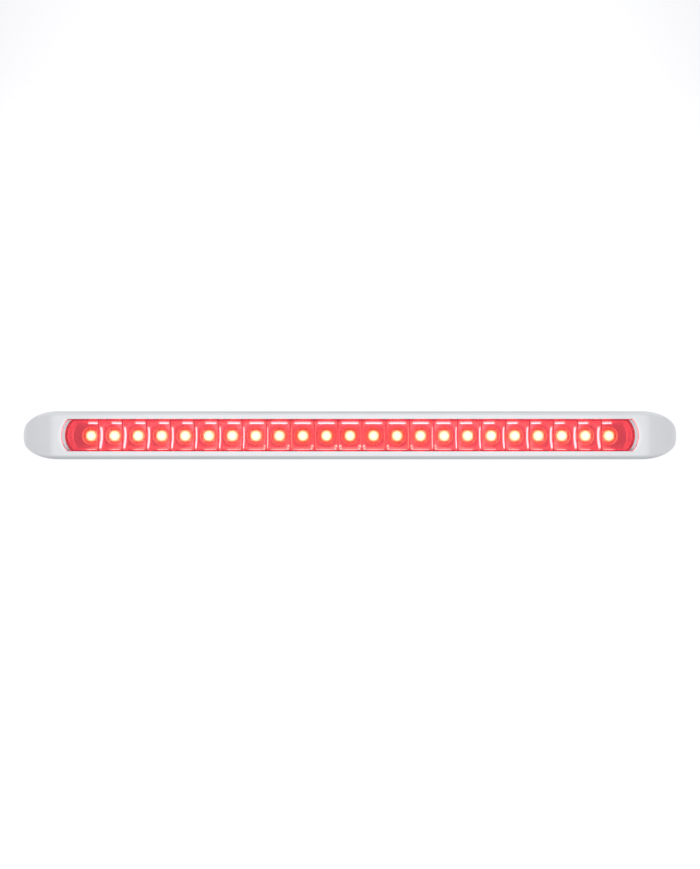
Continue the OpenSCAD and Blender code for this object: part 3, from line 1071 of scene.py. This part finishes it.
class BRAKELIGHT_OT_board(bpy.types.Operator):
    """Finish the circuit board and everything mounted on it"""
    bl_idname = "brakelight.board"
    bl_label = "Board finishes"

    def execute(self, context):
        paint("circuit_board", board_laminate())
        paint("board_screws", worked_metal("zinc_screws", (0.7, 0.71, 0.72), stretch=(1, 6, 1)))
        paint("led_lead_frames", worked_metal("tinned_lead_frame", (0.75, 0.75, 0.72)))
        paint("led_chips", moulded_plastic("led_die", (0.7, 0.12, 0.04), 3000, (0.2, 0.3)))
        for node, name, color, grain in (
                ("string_resistors", "resistor_coating", (0.02, 0.02, 0.022), 2000),
                ("current_regulators", "regulator_package", (0.04, 0.04, 0.042), 2500),
                ("steering_diodes", "diode_package", (0.03, 0.03, 0.031), 2500),
                ("surge_suppressor", "suppressor_package", (0.035, 0.035, 0.036), 2500),
                ("filter_capacitors", "capacitor_ceramic", (0.4, 0.26, 0.14), 1500)):
            paint(node, moulded_plastic(name, color, grain))
        paint("wire_terminals", worked_metal("tin_flashed_brass", (0.8, 0.66, 0.36)))
        paint("solder_joints", worked_metal("bright_solder", (0.78, 0.79, 0.8), (0.15, 0.3)))
        return {"FINISHED"}


class BRAKELIGHT_OT_stage(bpy.types.Operator):
    """Set up the pale floor, the soft white surroundings and the camera"""
    bl_idname = "brakelight.stage"
    bl_label = "Stage"

    def execute(self, context):
        self.floor()
        self.surroundings(context.scene)
        self.camera(context.scene)
        context.scene.view_settings.view_transform = "Standard"
        context.scene.view_settings.look = "None"
        return {"FINISHED"}

    def floor(self):
        """A pale table well below the bar, faintly lit and hidden from reflections."""
        bm = bmesh.new()
        bmesh.ops.create_circle(bm, cap_ends=True, segments=96, radius=4.0)
        bmesh.ops.translate(bm, vec=(0, 0, -0.4), verts=bm.verts)
        mesh = bpy.data.meshes.new("floor")
        bm.to_mesh(mesh)
        bm.free()
        material, tree, shader = new_material("pale_floor")
        feed(tree, shader, Base_Color=(0.6, 0.6, 0.6, 1), Roughness=0.9, Specular_IOR_Level=0.0,
             Emission_Color=(1, 1, 1, 1), Emission_Strength=0.6)
        mesh.materials.append(material)
        table = new_object("floor", mesh)
        table.visible_glossy = False

    def surroundings(self, scene):
        """White in front and behind, and greyer to the sides, overhead and underneath."""
        world = bpy.data.worlds.new("white_tent")
        scene.world = world
        world.use_nodes = True
        tree = world.node_tree
        tree.nodes.clear()
        direction = add(tree, "ShaderNodeTexCoord").outputs["Generated"]
        parts = add(tree, "ShaderNodeSeparateXYZ", direction).outputs
        along = self.grey_ramp(tree, parts["Y"],
                               ((0.0, 0.97), (0.017, 0.96), (0.032, 0.85), (0.07, 0.74),
                                (0.6, 0.71), (0.8, 0.76), (0.9, 0.86), (0.935, 1.03)))
        above = self.grey_ramp(tree, parts["Z"],
                               ((0.0, 0.74), (0.22, 0.92), (0.3, 1.0), (0.7, 1.0), (0.8, 1.12),
                                (0.95, 1.1), (1.0, 0.8)))
        both = add(tree, "ShaderNodeMix")
        both.data_type = "RGBA"
        both.blend_type = "MULTIPLY"
        both.inputs["Factor"].default_value = 1.0
        tree.links.new(along, both.inputs[6])
        tree.links.new(above, both.inputs[7])
        background = add(tree, "ShaderNodeBackground", Color=both.outputs[2])
        add(tree, "ShaderNodeOutputWorld", Surface=background.outputs[0])

    def grey_ramp(self, tree, value, stops):
        """A grey ramp over a direction's component, from -1 to 1."""
        share = add(tree, "ShaderNodeMapRange", Value=value, From_Min=-1).outputs["Result"]
        return color_ramp(tree, share, [(position, (grey, grey, grey * 1.01))
                                        for position, grey in stops])

    def camera(self, scene):
        """A camera straight in front, a little below the bar and looking slightly up."""
        data = bpy.data.cameras.new("camera")
        data.lens = 34.15
        data.sensor_width = 36
        data.clip_start = 0.01
        eye = new_object("camera", data)
        eye.location = (0, -0.56, -0.015)
        target = Vector((0, -0.022, 0.0005))
        eye.rotation_euler = (target - eye.location).to_track_quat("-Z", "Y").to_euler()
        scene.camera = eye


OPERATORS = (
    BRAKELIGHT_OT_stage, BRAKELIGHT_OT_housing, BRAKELIGHT_OT_board, BRAKELIGHT_OT_leds,
    BRAKELIGHT_OT_reflector, BRAKELIGHT_OT_lens, BRAKELIGHT_OT_bezel, BRAKELIGHT_OT_grommet,
)


class BRAKELIGHT_PT_panel(bpy.types.Panel):
    """Sizes, colours and build steps of the brake light"""
    bl_idname = "BRAKELIGHT_PT_panel"
    bl_label = "Third brake light"
    bl_space_type = "VIEW_3D"
    bl_region_type = "UI"
    bl_category = "Brake light"

    def draw(self, context):
        for group_name, group in GROUPS.items():
            settings = getattr(context.scene, group_name)
            box = self.layout.box()
            for field in group.__annotations__:
                box.prop(settings, field)
        for operator in OPERATORS:
            self.layout.operator(operator.bl_idname)


def register():
    for group_name, group in GROUPS.items():
        bpy.utils.register_class(group)
        setattr(bpy.types.Scene, group_name, PointerProperty(type=group))
    for operator in OPERATORS:
        bpy.utils.register_class(operator)
    bpy.utils.register_class(BRAKELIGHT_PT_panel)


def unregister():
    bpy.utils.unregister_class(BRAKELIGHT_PT_panel)
    for operator in reversed(OPERATORS):
        bpy.utils.unregister_class(operator)
    for group_name, group in GROUPS.items():
        delattr(bpy.types.Scene, group_name)
        bpy.utils.unregister_class(group)


def main():
    register()
    for operator in OPERATORS:
        step = operator.bl_idname.split(".")[1]
        getattr(bpy.ops.brakelight, step)()


if __name__ == "__main__":
    main()
